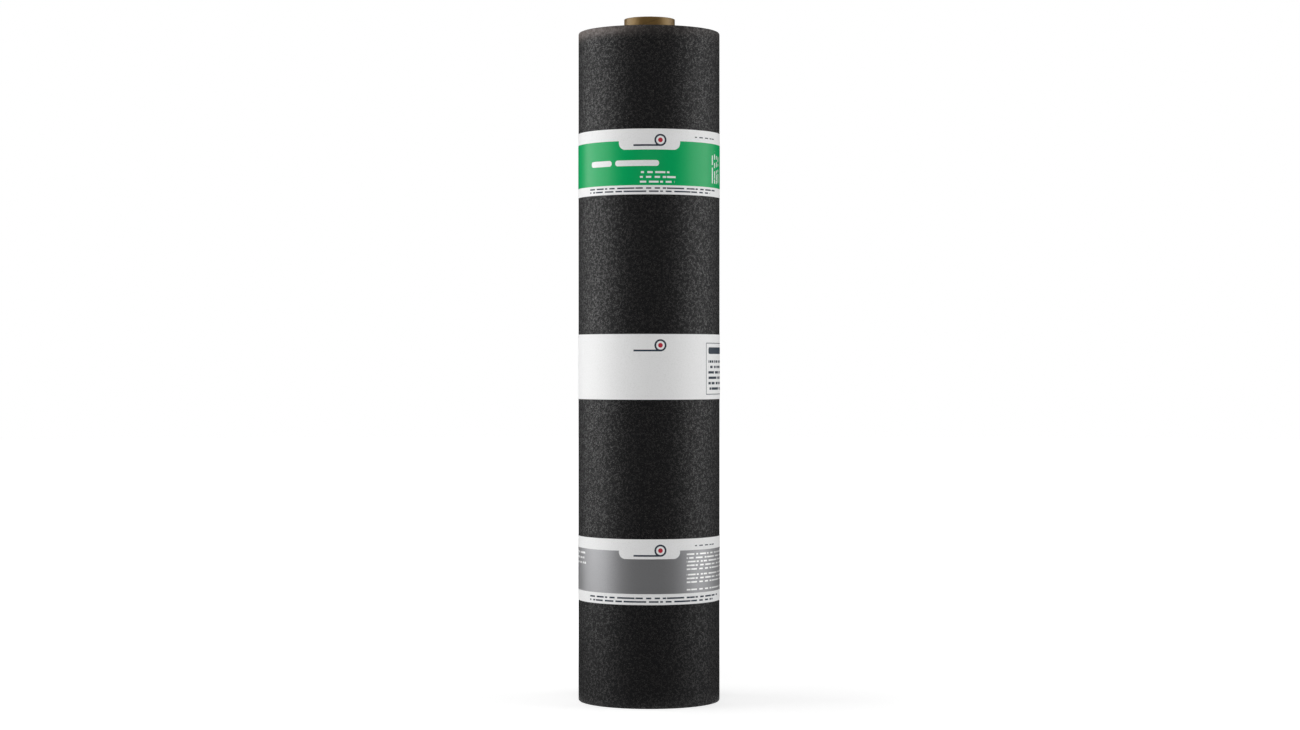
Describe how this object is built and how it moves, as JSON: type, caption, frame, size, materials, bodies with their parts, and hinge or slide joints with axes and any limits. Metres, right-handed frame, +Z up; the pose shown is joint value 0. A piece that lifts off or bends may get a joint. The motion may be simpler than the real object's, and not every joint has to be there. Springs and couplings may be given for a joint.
{
  "type": "roll of roofing felt",
  "caption": "Upright roll of black bitumen roofing felt, spiral wound on a protruding cardboard core and held closed by paper label bands.",
  "frame": {"origin": "on the core's axis, at the floor that the roll stands on", "axes": "+Z up along the core's axis, -Y towards the viewer of the picture, the sheet's outer cut edge at the back"},
  "size_m": [0.2125, 0.2107, 1.021],
  "materials": {
    "felt": "matte",
    "core_board": "matte",
    "green_label": "satin",
    "white_label": "satin",
    "grey_label": "satin"
  },
  "bodies": {
    "root": {"felt_roll": "felt", "core_tube": "core_board", "top_label_band": "green_label", "middle_label_band": "white_label", "bottom_label_band": "grey_label"}
  },
  "joints": []
}
